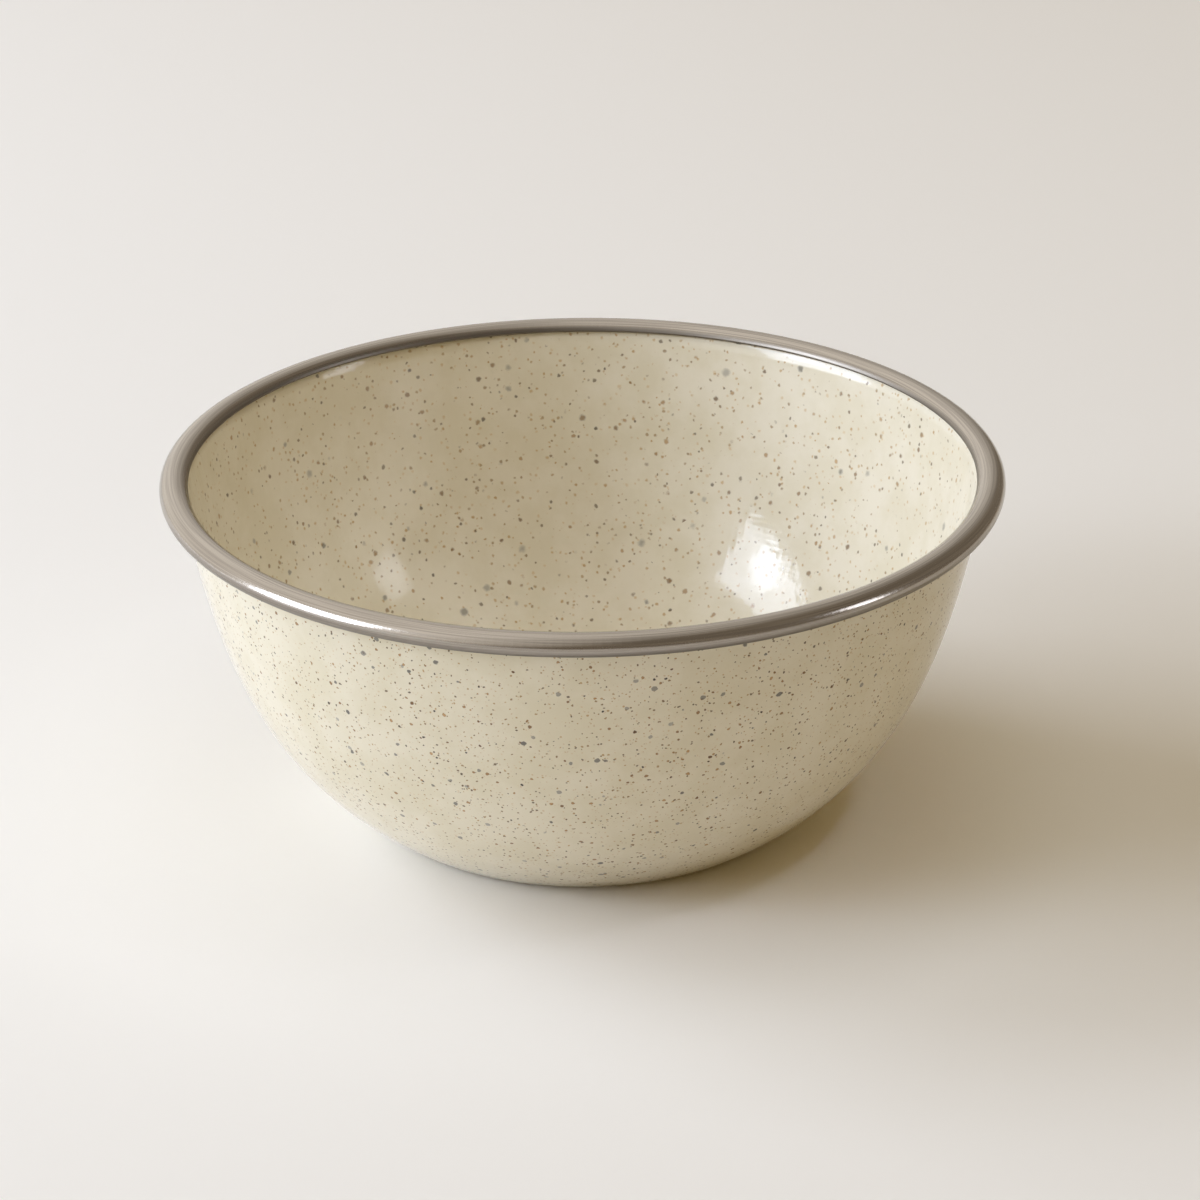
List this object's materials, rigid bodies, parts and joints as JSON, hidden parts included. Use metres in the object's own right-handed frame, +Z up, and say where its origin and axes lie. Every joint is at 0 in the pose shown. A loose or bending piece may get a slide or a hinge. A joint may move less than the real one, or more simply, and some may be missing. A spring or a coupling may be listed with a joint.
{
  "type": "enamel soup bowl",
  "caption": "Round deep-drawn steel soup bowl with speckled cream enamel inside and out, a stainless ring rolled over its edge and a flat foot to stand on.",
  "frame": {"origin": "middle of the plane that the foot stands on", "axes": "+Z up along the axis of the bowl, X and Y in the standing plane"},
  "size_m": [0.16, 0.16, 0.0695],
  "materials": {
    "outer_enamel": "fired glossy enamel, cream with brown and grey speckle",
    "drawn_steel": "drawn low-carbon sheet, hidden under the enamel",
    "inner_enamel": "fired glossy enamel, cream with brown and grey speckle",
    "stainless_ring": "rolled stainless strip, polished along its length"
  },
  "bodies": {
    "root": {"outer_enamel": "outer_enamel", "steel_bowl": "drawn_steel", "inner_enamel": "inner_enamel", "rim_ring": "stainless_ring"}
  },
  "joints": []
}
